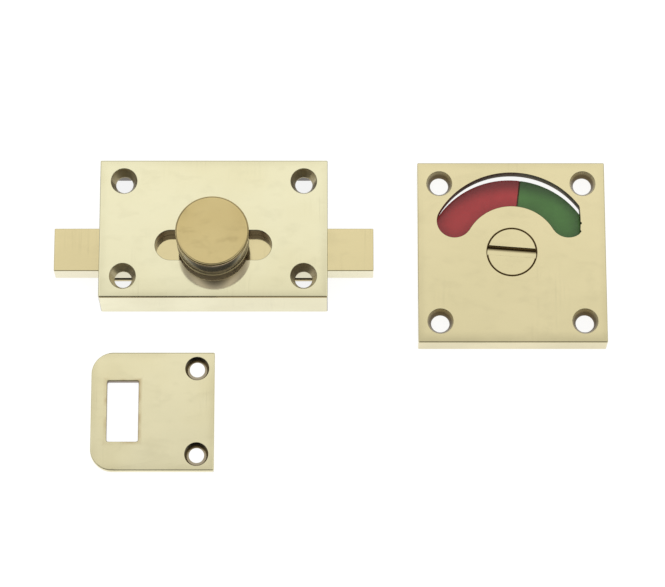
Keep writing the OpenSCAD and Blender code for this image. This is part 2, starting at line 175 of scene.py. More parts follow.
def combine(piece, tools, operation):
    """Applies one Boolean modifier for each tool and deletes the tool."""
    for tool in tools:
        modify(piece, "BOOLEAN", operation=operation, solver="EXACT", object=tool)
        bpy.data.objects.remove(tool)
    return piece


def cut(piece, *tools):
    """Takes the tools' shapes out of a piece."""
    return combine(piece, tools, "DIFFERENCE")


def weld(piece, *tools):
    """Adds the tools' shapes to a piece."""
    return combine(piece, tools, "UNION")


print("helpers ready: modify, combine, cut, weld")

# %% [markdown]
# Each screw hole opens into a cone for the screw's head. A drill and a cone could be cut one
# after the other, but the two cuts would have to meet exactly. Here the top face of a drill
# is extruded and widened, so one cutter makes the whole hole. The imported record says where
# the holes are.

# %% Countersunk holes
LEVEL = 0.9  # a face whose normal is at least this upright counts as level


def screw_spots(name):
    """The hole centres of one of the record's fixing patterns."""
    x, y = mounts[name]["pos_m"][:2]
    sizes = mounts[name]["dims"]
    across = [s * sizes.get("spacing_x_mm", 0) / 2 * MM for s in (-1, 1)]
    along = [s * sizes.get("spacing_y_mm", 0) / 2 * MM for s in (-1, 1)]
    return sorted({(x + dx, y + dy) for dx in across for dy in along})


def drill_bit(x, y, face, radius, sink_radius, sink_deep):
    """A drill that opens into a cone: a cylinder whose top is extruded and widened."""
    deep = face - sink_deep
    rise = face + OVER - deep
    bit = drum(x, y, -OVER, deep, radius)
    bpy.context.tool_settings.mesh_select_mode = (False, False, True)
    bpy.ops.object.mode_set(mode="EDIT")
    bpy.ops.mesh.select_all(action="DESELECT")
    bpy.ops.object.mode_set(mode="OBJECT")
    for side in bit.data.polygons:
        side.select = side.normal.z > LEVEL
    bpy.ops.object.mode_set(mode="EDIT")
    bpy.ops.mesh.extrude_region_move(TRANSFORM_OT_translate={"value": (0, 0, rise)})
    wider = 1 + rise / sink_deep * (sink_radius - radius) / radius
    bpy.ops.transform.resize(value=(wider, wider, 1), center_override=(x, y, face))
    bpy.ops.object.mode_set(mode="OBJECT")
    return bit


def sink_holes(piece, name, face, sink_radius, sink_deep):
    """Drills the countersunk screw holes of a fixing pattern through a piece's face."""
    radius = mounts[name]["dims"]["hole_r_mm"] * MM
    spots = screw_spots(name)
    for x, y in spots:
        cut(piece, drill_bit(x, y, face, radius, sink_radius, sink_deep))
    return spots


for x, y in screw_spots("case_fixing"):
    print("screw hole in the case at", round(x / MM, 2), round(y / MM, 2), "mm")

# %% [markdown]
# ## Buffed edges
# Polished brass has no razor edges: the buffing wheel rounds each one a little, and that
# thin round is what catches a bright or a dark line in the picture. A Bevel modifier makes
# it as real geometry. Each sharp edge gets a bevel weight, so an outer edge can be rounder
# than the rim of a hole, and a Weighted Normal modifier then keeps the flat faces flat.

# %% Round the sharp edges
SHARP = math.radians(30)
SMOOTH = math.radians(40)


def soften(piece, radius, share=lambda point: 1, rounds=3):
    """Rounds a piece's sharp edges to a radius times the share that an edge's middle gets."""
    alone(piece)
    bpy.ops.object.mode_set(mode="EDIT")
    bpy.ops.mesh.select_mode(type="EDGE")
    bpy.ops.mesh.select_all(action="DESELECT")
    bpy.ops.mesh.edges_select_sharp(sharpness=SHARP)
    bpy.ops.object.mode_set(mode="OBJECT")
    mesh = piece.data
    if "bevel_weight_edge" in mesh.attributes:
        mesh.attributes.remove(mesh.attributes["bevel_weight_edge"])
    weights = mesh.attributes.new("bevel_weight_edge", "FLOAT", "EDGE")
    for edge in mesh.edges:
        if edge.select:
            start, end = (mesh.vertices[i].co for i in edge.vertices)
            weights.data[edge.index].value = share((start + end) / 2)
    modify(piece, "BEVEL", limit_method="WEIGHT", width=radius, segments=rounds, use_clamp_overlap=False)
    bpy.ops.object.shade_smooth_by_angle(angle=SMOOTH)
    modify(piece, "WEIGHTED_NORMAL", keep_sharp=True)
    return piece


def dress(piece, node, body):
    """Lets a finished piece stand for its CAD node and move with its body."""
    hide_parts(node)
    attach(piece, body)
    print(piece.name, "has", len(piece.data.polygons), "faces and stands for", node)


print("helpers ready: soften, dress")

# %% [markdown]
# ## The bolt case
# The case is a cast brass box, open at the back, with a thick front. A block is hollowed
# from behind, and two pillars are welded into the hollow for the back plate's screws. The
# slot for the knob is a long hole with round ends: an outline of two half circles.

# %% Hollow block and pillars
CASE_WALL = 1.6 * MM
CASE_FRONT = 5 * MM
PILLAR_RADIUS = 3.5 * MM
PILLAR_AT = (24.5 * MM, 6.1 * MM)
PLATE_BACK = 1.6 * MM  # the back plate's thickness, where the pillars end

case_low, case_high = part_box("bolt_case")
front_back = case_high.z - CASE_FRONT
case = block(case_low, case_high, "polished_case")
hollow_low = case_low + Vector((CASE_WALL, CASE_WALL, -OVER))
hollow_high = Vector((case_high.x - CASE_WALL, case_high.y - CASE_WALL, front_back))
cut(case, block(hollow_low, hollow_high))
for side in (-1, 1):
    weld(case, drum(side * PILLAR_AT[0], PILLAR_AT[1], PLATE_BACK, front_back + OVER, PILLAR_RADIUS))
print("case blank:", len(case.data.polygons), "faces")

# %% Slot, bolt way and screw holes
SLOT_RADIUS = 5.2 * MM
SLOT_HALF = 14.35 * MM  # from the slot's middle to the centre of a round end
BOLT_ROOM = 0.15 * MM
CASE_SINK, CASE_SINK_DEEP = 4.45 * MM, 4.2 * MM  # a countersink's radius at the face, and its depth

bolt_low, bolt_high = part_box("bolt_bar")
bolt_y = (bolt_low.y + bolt_high.y) / 2
slot_outline = (arc(SLOT_HALF, bolt_y, SLOT_RADIUS, -90, 90, 40)
                + arc(-SLOT_HALF, bolt_y, SLOT_RADIUS, 90, 270, 40))
cut(case, outlined(slot_outline, front_back - OVER, case_high.z + OVER))
room = Vector((OVER, BOLT_ROOM, BOLT_ROOM))
cut(case, block(bolt_low - room, bolt_high + room))
case_holes = sink_holes(case, "case_fixing", case_high.z, CASE_SINK, CASE_SINK_DEEP)
print("holes drilled in the case:", len(case_holes))

# %% [markdown]
# Behind the front there are the seats of the inner pieces: a blind bearing for the pinion's
# upper journal, threaded holes in the pillars, and two holes for the spring's pins. They
# hardly show, but someone who turns the case over finds them.

# %% Seats behind the front
JOURNAL_RADIUS = 4 * MM
JOURNAL_ROOM = 0.1 * MM
PILLAR_SCREW = 1.55 * MM
PIN_ROOM = 0.05 * MM

pinion_low, pinion_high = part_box("drive_pinion")
pinion_y = (pinion_low.y + pinion_high.y) / 2
cut(case, drum(0, pinion_y, front_back - OVER, pinion_high.z + JOURNAL_ROOM, JOURNAL_RADIUS))
_, screw_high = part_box("back_plate_screws")
pins_low, pins_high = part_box("spring_pins")
pin_radius = (pins_high.y - pins_low.y) / 2
for side in (-1, 1):
    cut(case, drum(side * PILLAR_AT[0], PILLAR_AT[1], -OVER, screw_high.z + JOURNAL_ROOM, PILLAR_SCREW))
    cut(case, drum(side * (pins_high.x - pin_radius), pins_low.y + pin_radius, front_back - OVER,
                   pins_high.z, pin_radius + PIN_ROOM))
print("case with its seats:", len(case.data.polygons), "faces")

# %% Buff the case
CASE_EDGE = 0.9 * MM
SIDE_SHARE, SLOT_SHARE, HOLE_SHARE = 0.5, 0.25, 0.15  # of that, on the edges other than the front one
NEAR = 0.05 * MM  # a point this close to a face counts as on it


def on_side(point, low, high):
    """True on the four outer sides of a box."""
    return (min(point.x - low.x, high.x - point.x) < NEAR
            or min(point.y - low.y, high.y - point.y) < NEAR)


def off(point, *axes):
    """How far a point lies from the nearest of some upright axes."""
    return min(math.hypot(point.x - x, point.y - y) for x, y in axes)


def case_share(point):
    """The front edge is the roundest, then the other outer edges, the slot's rim and the holes'."""
    inside = point.z < front_back + NEAR and not on_side(point, case_low, case_high)
    if inside or point.z < case_low.z + NEAR:
        return 0
    if point.y < case_low.y + NEAR and point.z > case_high.z - NEAR:
        return 1
    if on_side(point, case_low, case_high):
        return SIDE_SHARE
    return SLOT_SHARE if abs(point.y - bolt_y) < SLOT_RADIUS + NEAR else HOLE_SHARE


soften(case, CASE_EDGE, case_share)
dress(case, "bolt_case", "fixed")

# %% [markdown]
# ## The bolt
# The bolt is a flat brass bar. Its hidden upper edge carries a rack that turns the pinion:
# one gap is modelled as a small wedge, an Array modifier repeats it along the bar at the
# rack's pitch, and a single Boolean cuts all the teeth.

# %% Bar with a rack
GEAR_MODULE = 0.8 * MM
GAP_DEEP = 1.25  # how far a gap goes below the pitch line, in modules
RACK_GAPS = 17
RACK_SLOPE = math.tan(math.radians(20))
BOLT_EDGE = 0.3 * MM
KNOB_SCREW = 2.05 * MM
KNOB_SCREW_HEAD = 3.85 * MM

pitch = math.pi * GEAR_MODULE
pitch_line = bolt_high.y - GEAR_MODULE
above = GEAR_MODULE + OVER
below = GAP_DEEP * GEAR_MODULE
first = -(RACK_GAPS - 1) / 2 * pitch
wide = pitch / 4 + above * RACK_SLOPE
narrow = pitch / 4 - below * RACK_SLOPE
gap = outlined([(first - wide, pitch_line + above), (first - narrow, pitch_line - below),
                (first + narrow, pitch_line - below), (first + wide, pitch_line + above)],
               bolt_low.z - OVER, bolt_high.z + OVER)
modify(gap, "ARRAY", count=RACK_GAPS, use_relative_offset=False, use_constant_offset=True,
       constant_offset_displace=(pitch, 0, 0))
bar = cut(block(bolt_low, bolt_high, "rubbed_bolt"), gap)
head_top = bolt_low.z + KNOB_SCREW_HEAD - KNOB_SCREW
cut(bar, drum(0, bolt_y, bolt_low.z - OVER, bolt_high.z + OVER, KNOB_SCREW))
cut(bar, drum(0, bolt_y, bolt_low.z - OVER, head_top, KNOB_SCREW_HEAD + OVER, KNOB_SCREW))
rack_half = -first + pitch


def bar_share(point):
    """The bar's outer edges are rounded, and the teeth and the screw hole stay crisp."""
    on_rack = point.y > pitch_line - below - NEAR and abs(point.x) < rack_half
    at_screw = off(point, (0, bolt_y)) < KNOB_SCREW_HEAD + NEAR
    return 0 if on_rack or at_screw else 1


soften(bar, BOLT_EDGE, bar_share)
dress(bar, "bolt_bar", "bolt")

# %% [markdown]
# ## The knob
# The knob is a turned drum that is a little narrower at its underside, so it starts as a
# cone with many sides. A thin lip runs round its foot and draws the bright line above the
# dark reflection in the case. The face's rim is softened more generously than the plates'
# edges, with more steps in the round.

# %% Turned head
KNOB_SIDES, KNOB_ROUNDS = 160, 6
KNOB_RIM = 1 * MM
KNOB_FOOT = 0.12 * MM
KNOB_TAPER = 0.5 * MM
LIP_OUT = 0.3 * MM
LIP_HIGH = 0.6 * MM
KNOB_BACK = 0.5 * MM  # the head stands a little behind the slot's middle
SPIGOT_RADIUS = 2.55 * MM
SPIGOT_DEPTH = 5.1 * MM

knob_low, knob_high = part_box("knob_head")
knob_radius = (knob_high.x - knob_low.x) / 2
foot_radius = knob_radius - KNOB_TAPER
knob_y = bolt_y + KNOB_BACK
knob = drum(0, knob_y, knob_low.z, knob_high.z, foot_radius, knob_radius, sides=KNOB_SIDES,
            name="turned_knob")
weld(knob, drum(0, knob_y, knob_low.z, knob_low.z + LIP_HIGH, foot_radius + LIP_OUT, sides=KNOB_SIDES))
cut(knob, drum(0, bolt_y, knob_low.z - OVER, knob_low.z + SPIGOT_DEPTH, SPIGOT_RADIUS))


def knob_share(point):
    """The face's rim is rounder than the lip, and the spigot's hole stays crisp."""
    if off(point, (0, knob_y)) < foot_radius - NEAR:
        return 0
    return 1 if point.z > (knob_low.z + knob_high.z) / 2 else KNOB_FOOT / KNOB_RIM


soften(knob, KNOB_RIM, knob_share, rounds=KNOB_ROUNDS)
dress(knob, "knob_head", "bolt")

# %% [markdown]
# ## The indicator plate
# The indicator is a square tray, face up. Its window is a kidney: an outer and an inner
# curve about the same centre, joined by two round ends. The outline follows the curves with
# four arcs, and a cutter of that shape opens it. The right end was filed flatter than the
# left one, and two nicks are left on it.

# %% Tray, window and holes
PLATE_FACE = 4 * MM
PLATE_WALL = 2 * MM
PLATE_SINK, PLATE_SINK_DEEP = 4.35 * MM, 2.9 * MM
WINDOW_OUTER = 28.2 * MM
WINDOW_INNER = 16.3 * MM
WINDOW_HALF = 60  # degrees from the middle to the centre of a round end
END_FLAT = 23.1 * MM  # how far from the middle the right end is filed flat
END_BULGE = 0.12  # how much of its round is left past there
NICKS = ((-9, 0.4 * MM), (-40, 0.35 * MM))  # flaws on that end: angle and size
BOSS_ROOM = 0.15 * MM
BOSS_SEAT = 2.5 * MM
SHANK_HOLE = 5.5 * MM

plate_low, plate_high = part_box("indicator_plate")
hub = (plate_low + plate_high) / 2
boss_low, boss_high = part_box("release_boss")
boss_radius = (boss_high.x - boss_low.x) / 2
tray_top = plate_high.z - PLATE_FACE
plate = block(plate_low, plate_high, "polished_indicator_plate")
tray_low = (plate_low.x + PLATE_WALL, plate_low.y + PLATE_WALL, plate_low.z - OVER)
tray_high = (plate_high.x - PLATE_WALL, plate_high.y - PLATE_WALL, tray_top)
cut(plate, block(tray_low, tray_high))
middle = (WINDOW_OUTER + WINDOW_INNER) / 2
end_radius = (WINDOW_OUTER - WINDOW_INNER) / 2
right, left = 90 - WINDOW_HALF, 90 + WINDOW_HALF
right_end = polar(hub.x, hub.y, middle, right)
left_end = polar(hub.x, hub.y, middle, left)
kidney = (arc(hub.x, hub.y, WINDOW_OUTER, right, left, 90)
          + arc(*left_end, end_radius, left, left + 180, 32)[1:]
          + arc(hub.x, hub.y, WINDOW_INNER, left, right, 60)[1:]
          + arc(*right_end, end_radius, right + 180, right + 360, 32)[1:-1])


def filed(points):
    """Points that lie past the window's flat right end, brought back to it."""
    flat = hub.x + END_FLAT
    return [(flat + END_BULGE * (x - flat) if x > flat else x, y) for x, y in points]


cut(plate, outlined(filed(kidney), tray_top - OVER, plate_high.z + OVER))
for angle, size in NICKS:
    (spot,) = filed([polar(*right_end, end_radius, angle)])
    cut(plate, drum(*spot, tray_top - OVER, plate_high.z + OVER, size, sides=24))
cut(plate, drum(hub.x, hub.y, plate_high.z - BOSS_SEAT, plate_high.z + OVER, boss_radius + BOSS_ROOM))
cut(plate, drum(hub.x, hub.y, -OVER, plate_high.z + OVER, SHANK_HOLE))
plate_holes = sink_holes(plate, "indicator_fixing", plate_high.z, PLATE_SINK, PLATE_SINK_DEEP)
print("window corners:", len(kidney), "holes in the plate:", len(plate_holes))

# %% Buff the plate
PLATE_EDGE = 0.4 * MM
SEAT_SHARE, RIM_SHARE = 0.6, 0.3  # of that, around the boss and on the other rims


def plate_share(point):
    """Round outer edges, a lighter touch around the boss, and nearly crisp holes."""
    if point.z < plate_low.z + NEAR:
        return 0
    if on_side(point, plate_low, plate_high):
        return 1
    if point.z < tray_top + NEAR:
        return 0
    return SEAT_SHARE if off(point, hub.xy) < boss_radius + BOSS_ROOM + NEAR else RIM_SHARE


soften(plate, PLATE_EDGE, plate_share)
dress(plate, "indicator_plate", "fixed")

# %% [markdown]
# ## The release boss
# The boss fills the middle of the plate, flush with it, and a coin in its slot turns the
# bolt from outside in an emergency. A ring in a groove of its shank holds it. It is made on
# the world's own axis, where the slot is straight, and then turned a few degrees and carried
# to the plate, as it stands at rest.

# %% Head, shank and coin slot
REST_TURN = -4.5  # degrees about the upright axis
BOSS_HEAD = 2.4 * MM
SHANK_RADIUS = 5.447 * MM
SHANK_FLAT = 4.497 * MM
COIN_HALF = 1.5 * MM
COIN_DEEP = 1.6 * MM
SOCKET_HALF = 2.6 * MM
SOCKET_TOP = 5.6 * MM

red_low, red_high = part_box("red_sector")


def flatted(radius, half, low, high):
    """A round bar with two flats."""
    shank = drum(0, 0, low, high, radius)
    for side in (-1, 1):
        near, far = sorted((side * half, side * 2 * radius))
        cut(shank, block((-2 * radius, near, low - OVER), (2 * radius, far, high + OVER)))
    return shank


def carry(piece, turn=REST_TURN):
    """Turns a piece to the rest angle and carries it to the indicator's centre."""
    piece.rotation_euler.z = math.radians(turn)
    piece.location = (hub.x, hub.y, 0)
    return settle(piece, piece.name)


head_low = boss_high.z - BOSS_HEAD
boss = drum(0, 0, head_low, boss_high.z, boss_radius, sides=128, name="coin_boss")
weld(boss, drum(0, 0, red_low.z, head_low + OVER / 2, SHANK_RADIUS))
weld(boss, flatted(SHANK_RADIUS, SHANK_FLAT, boss_low.z, red_low.z + OVER / 2))
cut(boss, block((-2 * boss_radius, -COIN_HALF, boss_high.z - COIN_DEEP),
                (2 * boss_radius, COIN_HALF, boss_high.z + OVER)))
cut(boss, block((-SOCKET_HALF, -SOCKET_HALF, boss_low.z - OVER), (SOCKET_HALF, SOCKET_HALF, SOCKET_TOP)))
print("boss blank:", len(boss.data.polygons), "faces")

# %% Groove for the snap ring
GROOVE_RADIUS = 4.747 * MM
GROOVE_ROOM = 0.05 * MM
BOSS_EDGE = 0.25 * MM
FAR_SHARE, NEAR_SHARE = 1.2, 0.3  # of that, on the coin slot's far and near edge

ring_low, ring_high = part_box("retaining_ring")
collar = drum(0, 0, ring_low.z - GROOVE_ROOM, ring_high.z + GROOVE_ROOM, 2 * SHANK_RADIUS)
cut(collar, drum(0, 0, ring_low.z - OVER, ring_high.z + OVER, GROOVE_RADIUS))
cut(boss, collar)


def boss_share(point):
    """The head's round rim, a little more on the coin slot's far edge, and less on its near one."""
    if point.z < boss_high.z - NEAR:
        return 0
    if off(point, (0, 0)) > boss_radius - NEAR:
        return 1
    return FAR_SHARE if point.y > 0 else NEAR_SHARE


soften(boss, BOSS_EDGE, boss_share)
carry(boss)
dress(boss, "release_boss", "indicator")

# %% [markdown]
# ## The disc and its two colours
# A thin brass disc turns with the boss behind the window. Its rim is flatter on one side,
# so the light that comes past it makes a crescent. One half of its face is enamelled red and
# the other green, with a bare line between them. The halves are half rings with a thickness
# of their own, so the colour has a real edge and a real step.

# %% Disc
DISC_EDGE = 0.1 * MM
DISC_AT = (-0.15 * MM, -2.1 * MM)  # the centre of the flatter curve, seen from the axis
DISC_FLATTER = 1.6 * MM  # how much wider that curve is than the disc
DISC_REACH = 28.4 * MM
SHANK_GAP = 0.05 * MM

disc_low, disc_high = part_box("indicator_disc")
disc_radius = (disc_high.x - disc_low.x) / 2 + DISC_FLATTER


def rim(start, end, steps):
    """The disc's rim between two angles: a wide curve, kept within a reach of the axis."""
    points = []
    for x, y in arc(0, 0, 1, start, end, steps):
        ahead = DISC_AT[0] * x + DISC_AT[1] * y
        aside = DISC_AT[0] * y - DISC_AT[1] * x
        far = min(ahead + math.sqrt(disc_radius ** 2 - aside ** 2), DISC_REACH)
        points.append((far * x, far * y))
    return points


disc = outlined(rim(0, 358, 179), disc_low.z, disc_high.z, "colour_disc")
cut(disc, flatted(SHANK_RADIUS + SHANK_GAP, SHANK_FLAT + SHANK_GAP, disc_low.z - OVER, disc_high.z + OVER))
soften(disc, DISC_EDGE)
carry(disc)
dress(disc, "indicator_disc", "indicator")

# %% Two enamelled halves
COLOUR_INNER = 13.5 * MM
LINE_HALF = 0.25 * MM
COLOUR_TURN = -7  # degrees: the colours were put on a little askew
ENAMEL_EDGE = 0.06 * MM


def enamel_half(name, toward, node):
    """Half a ring on the side of the bare line that an angle points to."""
    outer = 90 - math.degrees(math.asin(LINE_HALF / DISC_REACH))
    bore = 90 - math.degrees(math.asin(LINE_HALF / COLOUR_INNER))
    outline = (rim(toward - outer, toward + outer, 96)
               + arc(0, 0, COLOUR_INNER, toward + bore, toward - bore, 64))
    half = soften(outlined(outline, red_low.z, red_high.z, name), ENAMEL_EDGE, rounds=2)
    dress(carry(half, COLOUR_TURN), node, "indicator")
    return half


red_half = enamel_half("red_enamel_half", 180, "red_sector")
green_half = enamel_half("green_enamel_half", 0, "green_sector")

# %% [markdown]
# ## The keep
# The keep is a flat plate that is screwed to the door's frame. Two of its corners are round
# and two are square, and the bolt enters through its mortice. The outline needs two arcs and
# two plain corners, and the mortice is a block whose upright edges are softened first, as a
# file leaves them.

# %% Flat keep
KEEP_CORNER = 7.4 * MM
KEEP_SINK, KEEP_SINK_DEEP = 4.05 * MM, 1.8 * MM
KEEP_EDGE = 0.45 * MM
SINK_SHARE = 0.2  # of that, on the rims of the screw holes
MORTICE_EDGE = 5.4 * MM
MORTICE_LONG = 10.5 * MM
MORTICE_WIDE = 20.8 * MM
MORTICE_CORNER = 0.5 * MM

keep_low, keep_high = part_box("keep_plate")
keep_y = (keep_low.y + keep_high.y) / 2
round_x = keep_low.x + KEEP_CORNER
keep_outline = (arc(round_x, keep_high.y - KEEP_CORNER, KEEP_CORNER, 90, 180, 24)
                + arc(round_x, keep_low.y + KEEP_CORNER, KEEP_CORNER, 180, 270, 24)
                + [(keep_high.x, keep_low.y), (keep_high.x, keep_high.y)])
keep = outlined(keep_outline, keep_low.z, keep_high.z, "polished_keep")
mortice_low = (keep_low.x + MORTICE_EDGE, keep_y - MORTICE_WIDE / 2, keep_low.z - OVER)
mortice_high = (keep_low.x + MORTICE_EDGE + MORTICE_LONG, keep_y + MORTICE_WIDE / 2, keep_high.z + OVER)
mortice = block(mortice_low, mortice_high)


def upright(point):
    """The mortice's upright edges, which lie half way between its two ends."""
    return 1 if abs(point.z - (keep_low.z + keep_high.z) / 2) < NEAR else 0


soften(mortice, MORTICE_CORNER, upright)
cut(keep, mortice)
keep_holes = sink_holes(keep, "keep_fixing", keep_high.z, KEEP_SINK, KEEP_SINK_DEEP)


def keep_share(point):
    """The rims of the screw holes stay crisper than the other edges."""
    if point.z < keep_low.z + NEAR:
        return 0
    return SINK_SHARE if off(point, *keep_holes) < KEEP_SINK + NEAR else 1


soften(keep, KEEP_EDGE, keep_share)
dress(keep, "keep_plate", "fixed")

# %% [markdown]
# ## Finishes
# Every finish is a Principled shader whose colour, roughness and bump come from textures on
# Object coordinates, so the marks stay on the metal when a piece moves. The nodes could be
# wired in the Shader Editor. Here a helper adds a node and fills in its sockets by name, and
# finds the node tree to work in from a socket that it is given.

# %% A node at a time
finishes = {}  # every finish by its name


def feed(socket, value):
    """Links a socket to another node's output, or sets it to a value."""
    if isinstance(value, bpy.types.NodeSocket):
        socket.id_data.links.new(value, socket)
    else:
        socket.default_value = value


def fill(node, **sockets):
    """Feeds the sockets that are named."""
    for name, value in sockets.items():
        feed(node.inputs[name.replace("_", " ")], value)
    return node


def add(tree, kind, **sockets):
    """Adds a shader node to a node tree and fills it in."""
    return fill(tree.nodes.new("ShaderNode" + kind), **sockets)


def new_finish(name):
    """Starts a finish and gives its shader and its Object coordinates."""
    finishes[name] = bpy.data.materials.new(name)
    finishes[name].use_nodes = True
    tree = finishes[name].node_tree
    return tree.nodes["Principled BSDF"], add(tree, "TexCoord").outputs["Object"]


def stretched(place, scale, turn=0):
    """The coordinates drawn out along one direction, for marks that run one way."""
    turned = (0, 0, math.radians(turn))
    return add(place.id_data, "Mapping", Vector=place, Scale=scale, Rotation=turned).outputs["Vector"]


def noise(place, scale, detail=3):
    """A noise texture's value."""
    return add(place.id_data, "TexNoise", Vector=place, Scale=scale, Detail=detail).outputs["Fac"]


def ranged(value, low, high, to_low=0, to_high=1):
    """A value mapped smoothly from one range to another."""
    spread = add(value.id_data, "MapRange", From_Min=low, From_Max=high, To_Min=to_low, To_Max=to_high)
    spread.interpolation_type = "SMOOTHSTEP"
    return fill(spread, Value=value).outputs["Result"]


def toned(amount, plain, other):
    """A colour that goes from plain to other by an amount; either may be a socket."""
    mix = add(amount.id_data, "Mix")
    mix.data_type = "RGBA"
    fill(mix, Factor=amount)
    for socket, colour in zip([s for s in mix.inputs if s.type == "RGBA"], (plain, other)):
        feed(socket, (*colour, 1) if isinstance(colour, tuple) else colour)
    return [s for s in mix.outputs if s.type == "RGBA"][0]


def joined(operation, first, second):
    """Two values put together by a Math node."""
    step = add(first.id_data, "Math")
    step.operation = operation
    feed(step.inputs[0], first)
    feed(step.inputs[1], second)
    return step.outputs[0]


def bumped(height, depth, strength, **under):
    """A bump, laid over another one where that is given as the Normal."""
    bump = add(height.id_data, "Bump", Height=height, Strength=strength, Distance=depth, **under)
    return bump.outputs["Normal"]


print("helpers ready for nodes: feed, fill, add and those that call them")

# %% [markdown]
# ### Brass
# Buffed brass is nearly a mirror, but not quite: broad, soft waves from the buffing wheel,
# cloudy and blotchy tones, wipe marks in places, and a few small pits where the casting was
# porous. Towards a plate's outer sides the tone is darker, a painted shade for the dimmer
# reflection of their rounded faces, and at the front edge the wheel rolls the face off by a degree or two,
# which a wide bump stands for.
# Dirt stays around the mortice, where no wheel reaches. Deeper in the plate's holes, towards
# the coin slot's wall and down the knob's side the tone darkens: a painted shade. A
# picture of metal would bring its own lamps along, so all of this is noise, masked by place.

# %% Masks for edges, openings and depth


def vector_step(operation, place, other=None):
    """The outputs of a Vector Math node that works on a place and a fixed vector."""
    step = add(place.id_data, "VectorMath")
    step.operation = operation
    feed(step.inputs[0], place)
    if other is not None:
        feed(step.inputs[1], other)
    return step.outputs


def outer_band(place, low, high, width):
    """One on a box's four sides, falling to zero over a width further in."""
    at = add(place.id_data, "SeparateXYZ", Vector=place).outputs
    sides = (("X", low.x, low.x + width), ("X", high.x, high.x - width),
             ("Y", low.y, low.y + width), ("Y", high.y, high.y - width))
    total, *bands = [ranged(at[axis], start, end, 1, 0) for axis, start, end in sides]
    for band in bands:
        total = joined("MAXIMUM", total, band)
    return total


def near_opening(place, low, high, width):
    """One at the edge of a square opening, falling to zero over a width around it."""
    middle = [(a + b) / 2 for a, b in zip(low, high)]
    half = [(b - a) / 2 for a, b in zip(low, high)]
    for operation, amount in (("SUBTRACT", middle), ("ABSOLUTE", None), ("SUBTRACT", half)):
        place = vector_step(operation, place, amount)["Vector"]
    at = add(place.id_data, "SeparateXYZ", Vector=place).outputs
    return ranged(joined("MAXIMUM", at["X"], at["Y"]), 0, width, 1, 0)


def along(place, direction):
    """How far a point lies along a direction."""
    return vector_step("DOT_PRODUCT", place, direction)["Value"]


print("helpers ready: vector_step, outer_band, near_opening, along")

# %% One function for all the brass
CLOUDS, BUFFED, PATCHES, PORES, SPOTS = 34, 90, 60, 150, 160  # texture scales: marks to a metre
SMEARS, SMEAR_TURN = (40, 130, 90), 14  # a scale for each axis, and the marks' turn in degrees
BLOTCHES, BLOTCH_TURN = (150, 260, 200), 30
FACE_LINES, LINE_TURN = (1300, 40, 60), 8
# STAIN is a real stain around the mortice; the second colour is the brown of a painted shade
STAIN, GRIME = (0.50, 0.36, 0.17), (0.10, 0.066, 0.024)


def darker(colour, share):
    """A colour with only a share of its light."""
    return tuple(share * c for c in colour)


def brass(name, pale, deep, rough, lines=0.3, waves=0.1, pits=0.05, mottled=0.14, metal=1, grain=FACE_LINES,
          band=None, roll=None, opening=None, grime=None):
    """Brass between two tones, with buffing waves, wipe marks in places and small pits."""
    shader, place = new_finish(name)
    cloud = noise(place, CLOUDS)
    smear = noise(stretched(place, SMEARS, SMEAR_TURN), 1)
    line = noise(stretched(place, grain, LINE_TURN), 1, 4)
    patch = ranged(noise(place, PATCHES, 1), 0.48, 0.66, 0, lines)
    marked = joined("MULTIPLY", ranged(line, 0.5, 0.8), patch)
    cells = add(place.id_data, "TexVoronoi", Vector=place, Scale=PORES).outputs
    pit = joined("MULTIPLY", ranged(cells["Color"], 1 - pits, 1 - pits + 0.02),
                 ranged(cells["Distance"], 0.02, 0.06, 1, 0))
    tone = toned(ranged(cloud, 0.35, 0.7), pale, deep)
    blotch = noise(stretched(place, BLOTCHES, BLOTCH_TURN), 1, 5)
    tone = toned(ranged(blotch, 0.5, 0.75, 0, mottled), tone, darker(deep, 0.7))
    # painted shade: darker towards a plate's outer sides, for the dimmer reflection of their rounded faces
    if band is not None:
        broken = ranged(cloud, 0.3, 0.6, 0.1, 0.45)
        tone = toned(joined("MULTIPLY", outer_band(place, *band), broken), tone, darker(deep, 0.8))
    if opening is not None:
        spotted = ranged(noise(place, SPOTS, 2), 0.35, 0.65, 0.1, 0.8)
        tone = toned(joined("MULTIPLY", near_opening(place, *opening), spotted), tone, STAIN)
    # painted shade: darker along a direction, into the plate's holes, towards the coin slot's wall and down
    # the knob's side
    if grime is not None:
        direction, start, end = grime
        tone = toned(ranged(along(place, direction), start, end, 0, 0.95), tone, GRIME)
    tone = toned(pit, toned(marked, tone, darker(deep, 0.4)), darker(deep, 0.4))
    surface = bumped(noise(place, BUFFED, 1), 0.2 * MM, waves)
    surface = bumped(smear, 0.02 * MM, 0.5 * waves, Normal=surface)
    surface = bumped(ranged(pit, 0, 1, 1, 0), 0.03 * MM, 0.6, Normal=surface)
    if roll is not None:
        direction, edge, reach, drop = roll
        height = ranged(along(place, direction), edge - reach, edge + reach)
        surface = bumped(height, drop, 1, Normal=surface)
    roughness = ranged(smear, 0.3, 0.75, 0.8 * rough, 1.4 * rough)
    fill(shader, Base_Color=tone, Metallic=metal, Roughness=roughness, Normal=surface)


print("helpers ready: darker, brass")

# %% [markdown]
# The brasses differ in their pale and deep tone, in roughness and in how marked they are.
# The plates are pale and polished, bolt and knob have a deeper satin, and holes, sawn walls
# and the inside of the casting are dull. Some get a painted shade that darkens them along a
# direction, between two places on it, and some walls and rims are painted dark all over as shade.

# %% Polished faces
UP, BACK = (0, 0, 1), (0, 1, 0)
BAND = 3.2 * MM  # how far in from a plate's outer sides the painted shade reaches
STAIN_WIDE = 1.6 * MM  # the stain around the mortice
CASE_ROLL, PLATE_ROLL = (8 * MM, 0.09 * MM), (4 * MM, 0.08 * MM)  # how wide and deep a front edge rolls off
PLATE_TONES = (0.78, 0.69, 0.408), (0.76, 0.675, 0.395)

